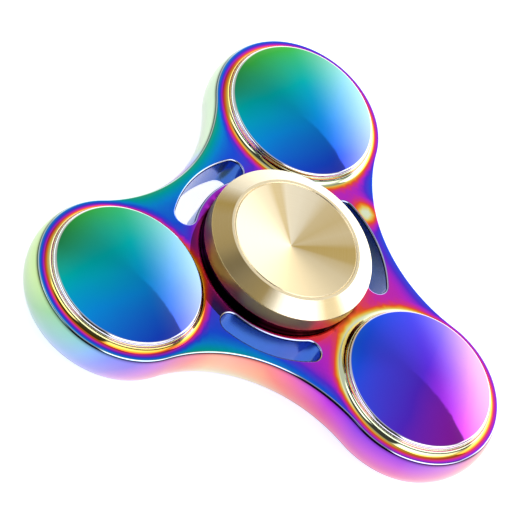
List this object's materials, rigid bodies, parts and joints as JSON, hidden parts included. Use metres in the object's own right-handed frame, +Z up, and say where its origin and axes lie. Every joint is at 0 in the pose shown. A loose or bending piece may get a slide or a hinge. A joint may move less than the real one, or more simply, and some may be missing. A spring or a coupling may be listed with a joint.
{
  "type": "fidget spinner",
  "caption": "Three-lobed hand spinner: a cast rotor with a domed weight in each lobe turns on a shielded ball bearing between two bevelled finger caps.",
  "frame": {"origin": "centre of the flat bead round the lower finger cap's face, on the spin axis", "axes": "+Z up along the spin axis from the lower cap to the upper one; +Y through the centre of the first lobe; +X completes the right-handed frame"},
  "size_m": [0.0724, 0.0663, 0.0158],
  "materials": {
    "iridescent_body": "mirror-polished casting with a rainbow vapour coating",
    "iridescent_weight": "mirror-polished domed weight with a rainbow vapour coating",
    "anodised_cap": "champagne-gold anodising over fine concentric turning marks",
    "bearing_steel": "ground and polished bearing steel",
    "ball_steel": "lapped bearing balls",
    "shield_steel": "pressed steel sheet",
    "spring_steel": "blued spring steel strip",
    "cage_steel": "pressed steel ribbon",
    "rivet_steel": "headed steel rivets"
  },
  "bodies": {
    "finger_hub": {"top_cap": "anodised_cap", "bottom_cap": "anodised_cap", "bearing_inner_ring": "bearing_steel"},
    "rotor": {"rotor_body": "iridescent_body", "lobe_weight_1": "iridescent_weight", "lobe_weight_2": "iridescent_weight", "lobe_weight_3": "iridescent_weight", "bearing_outer_ring": "bearing_steel", "bearing_shield_top": "shield_steel", "bearing_shield_bottom": "shield_steel", "shield_clip_top": "spring_steel", "shield_clip_bottom": "spring_steel"},
    "ball_cage": {"cage_half_top": "cage_steel", "cage_half_bottom": "cage_steel", "cage_rivets": "rivet_steel"},
    "rolling_ball_1": {"ball_1": "ball_steel"},
    "rolling_ball_2": {"ball_2": "ball_steel"},
    "rolling_ball_3": {"ball_3": "ball_steel"},
    "rolling_ball_4": {"ball_4": "ball_steel"},
    "rolling_ball_5": {"ball_5": "ball_steel"},
    "rolling_ball_6": {"ball_6": "ball_steel"},
    "rolling_ball_7": {"ball_7": "ball_steel"}
  },
  "joints": [
    {"name": "rotor_spin", "type": "hinge", "parent": "finger_hub", "child": "rotor", "pos_m": [0, 0, 0.00791], "axis": [0, 0, 1], "continuous": true},
    {"name": "cage_orbit", "type": "hinge", "parent": "finger_hub", "child": "ball_cage", "pos_m": [0, 0, 0.00791], "axis": [0, 0, 1], "continuous": true},
    {"name": "ball_roll_1", "type": "hinge", "parent": "ball_cage", "child": "rolling_ball_1", "pos_m": [0.00752, 0, 0.00791], "axis": [0, 0, 1], "continuous": true},
    {"name": "ball_roll_2", "type": "hinge", "parent": "ball_cage", "child": "rolling_ball_2", "pos_m": [0.00469, 0.00588, 0.00791], "axis": [0, 0, 1], "continuous": true},
    {"name": "ball_roll_3", "type": "hinge", "parent": "ball_cage", "child": "rolling_ball_3", "pos_m": [-0.00167, 0.00734, 0.00791], "axis": [0, 0, 1], "continuous": true},
    {"name": "ball_roll_4", "type": "hinge", "parent": "ball_cage", "child": "rolling_ball_4", "pos_m": [-0.00678, 0.00327, 0.00791], "axis": [0, 0, 1], "continuous": true},
    {"name": "ball_roll_5", "type": "hinge", "parent": "ball_cage", "child": "rolling_ball_5", "pos_m": [-0.00678, -0.00327, 0.00791], "axis": [0, 0, 1], "continuous": true},
    {"name": "ball_roll_6", "type": "hinge", "parent": "ball_cage", "child": "rolling_ball_6", "pos_m": [-0.00167, -0.00734, 0.00791], "axis": [0, 0, 1], "continuous": true},
    {"name": "ball_roll_7", "type": "hinge", "parent": "ball_cage", "child": "rolling_ball_7", "pos_m": [0.00469, -0.00588, 0.00791], "axis": [0, 0, 1], "continuous": true}
  ],
  "couplings": [
    {"joint": "cage_orbit", "follows": "rotor_spin", "ratio": 0.63186},
    {"joint": "ball_roll_1", "follows": "rotor_spin", "ratio": 1.7641},
    {"joint": "ball_roll_2", "follows": "rotor_spin", "ratio": 1.7641},
    {"joint": "ball_roll_3", "follows": "rotor_spin", "ratio": 1.7641},
    {"joint": "ball_roll_4", "follows": "rotor_spin", "ratio": 1.7641},
    {"joint": "ball_roll_5", "follows": "rotor_spin", "ratio": 1.7641},
    {"joint": "ball_roll_6", "follows": "rotor_spin", "ratio": 1.7641},
    {"joint": "ball_roll_7", "follows": "rotor_spin", "ratio": 1.7641}
  ]
}
